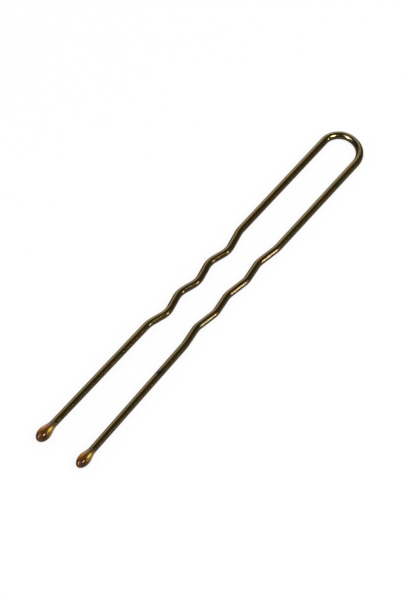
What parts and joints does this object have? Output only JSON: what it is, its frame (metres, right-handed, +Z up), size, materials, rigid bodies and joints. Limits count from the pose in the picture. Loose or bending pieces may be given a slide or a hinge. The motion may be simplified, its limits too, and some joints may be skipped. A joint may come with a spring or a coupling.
{
  "type": "hairpin",
  "caption": "U-shaped crimped hairpin of one springy round wire with a smooth resin bead on each tip, pushed into an updo to hold the hair.",
  "frame": {"origin": "middle of the pin's length and width, on the surface that it lies on", "axes": "+Y along the pin towards the bow, +X across the legs with the left leg at -X, +Z up, square to the plane of the wire"},
  "size_m": [0.0096, 0.0751, 0.002],
  "materials": {
    "bronze_lacquered_wire": "spring steel wire in glossy dark bronze lacquer",
    "amber_resin": "glossy translucent amber resin, dipped and cured on the wire"
  },
  "bodies": {
    "bow": {"bow": "bronze_lacquered_wire"},
    "left_upper": {"left_upper_leg": "bronze_lacquered_wire"},
    "left_middle": {"left_crimps": "bronze_lacquered_wire"},
    "left_lower": {"left_lower_leg": "bronze_lacquered_wire", "left_tip_bead": "amber_resin"},
    "right_upper": {"right_upper_leg": "bronze_lacquered_wire"},
    "right_middle": {"right_crimps": "bronze_lacquered_wire"},
    "right_lower": {"right_lower_leg": "bronze_lacquered_wire", "right_tip_bead": "amber_resin"}
  },
  "joints": [
    {"name": "left_leg_spread", "type": "hinge", "parent": "bow", "child": "left_upper", "pos_m": [-0.00315, 0.03232, 0.00102], "axis": [0, 0, -1], "range_deg": [-1.1, 4], "stiffness_Nm_per_rad": 1.2},
    {"name": "left_crimp_flex", "type": "hinge", "parent": "left_upper", "child": "left_middle", "pos_m": [-0.00315, 0.01455, 0.00102], "axis": [0, 0, -1], "range_deg": [-1.2, 4.4], "stiffness_Nm_per_rad": 0.8},
    {"name": "left_tip_flex", "type": "hinge", "parent": "left_middle", "child": "left_lower", "pos_m": [-0.00362, -0.01125, 0.00102], "axis": [0, 0, -1], "range_deg": [-0.9, 3.4], "stiffness_Nm_per_rad": 0.5},
    {"name": "right_leg_spread", "type": "hinge", "parent": "bow", "child": "right_upper", "pos_m": [0.00315, 0.03232, 0.00102], "axis": [0, 0, 1], "range_deg": [-1.1, 4], "stiffness_Nm_per_rad": 1.2},
    {"name": "right_crimp_flex", "type": "hinge", "parent": "right_upper", "child": "right_middle", "pos_m": [0.00329, 0.01505, 0.00102], "axis": [0, 0, 1], "range_deg": [-1.2, 4.4], "stiffness_Nm_per_rad": 0.8},
    {"name": "right_tip_flex", "type": "hinge", "parent": "right_middle", "child": "right_lower", "pos_m": [0.00315, -0.0115, 0.00102], "axis": [0, 0, 1], "range_deg": [-0.9, 3.4], "stiffness_Nm_per_rad": 0.5}
  ]
}
